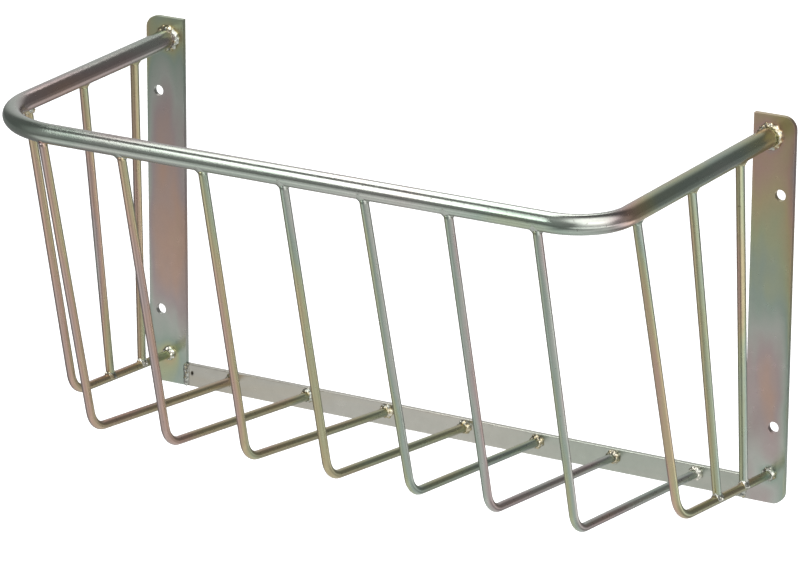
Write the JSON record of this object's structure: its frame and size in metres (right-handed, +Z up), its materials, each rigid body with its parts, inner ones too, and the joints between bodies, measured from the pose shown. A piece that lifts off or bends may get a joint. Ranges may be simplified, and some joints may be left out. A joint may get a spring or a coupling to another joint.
{
  "type": "hay rack",
  "caption": "Wall-mounted hay rack: a welded basket of bent round bars under a bent tube rail, carried by flat upright plates with bolt holes and a flat bar between them.",
  "frame": {"origin": "middle of the back face of the bottom bar, where it rests on the wall", "axes": "+X along the wall, from the left plate to the right plate as seen from the front; +Y into the wall; +Z up"},
  "size_m": [0.668, 0.3275, 0.36],
  "materials": {
    "rail": "smooth steel tube, zinc plated, yellow passivated, glossy",
    "plate": "flat steel bar, zinc plated, yellow passivated with a faint rainbow sheen",
    "bar": "drawn round steel bar, zinc plated, yellow passivated, lengthwise streaks",
    "weld": "lumpy weld metal, zinc plated, yellow passivated"
  },
  "bodies": {
    "root": {"top_rail": "rail", "left_plate": "plate", "right_plate": "plate", "bottom_bar": "plate", "front_bar_1": "bar", "front_bar_2": "bar", "front_bar_3": "bar", "front_bar_4": "bar", "front_bar_5": "bar", "front_bar_6": "bar", "front_bar_7": "bar", "end_bar_left": "bar", "end_bar_right": "bar", "side_bar_left_front": "bar", "side_bar_left_rear": "bar", "side_bar_right_front": "bar", "side_bar_right_rear": "bar", "weld_rail_left": "weld", "weld_rail_right": "weld", "weld_seam_left": "weld", "weld_seam_right": "weld", "weld_front_top_1": "weld", "weld_front_top_2": "weld", "weld_front_top_3": "weld", "weld_front_top_4": "weld", "weld_front_top_5": "weld", "weld_front_top_6": "weld", "weld_front_top_7": "weld", "weld_front_foot_1": "weld", "weld_front_foot_2": "weld", "weld_front_foot_3": "weld", "weld_front_foot_4": "weld", "weld_front_foot_5": "weld", "weld_front_foot_6": "weld", "weld_front_foot_7": "weld", "weld_end_top_left": "weld", "weld_end_top_right": "weld", "weld_end_foot_left": "weld", "weld_end_foot_right": "weld", "weld_side_top_left_front": "weld", "weld_side_top_left_rear": "weld", "weld_side_top_right_front": "weld", "weld_side_top_right_rear": "weld", "weld_side_foot_left_front": "weld", "weld_side_foot_left_rear": "weld", "weld_side_foot_right_front": "weld", "weld_side_foot_right_rear": "weld"}
  },
  "joints": []
}
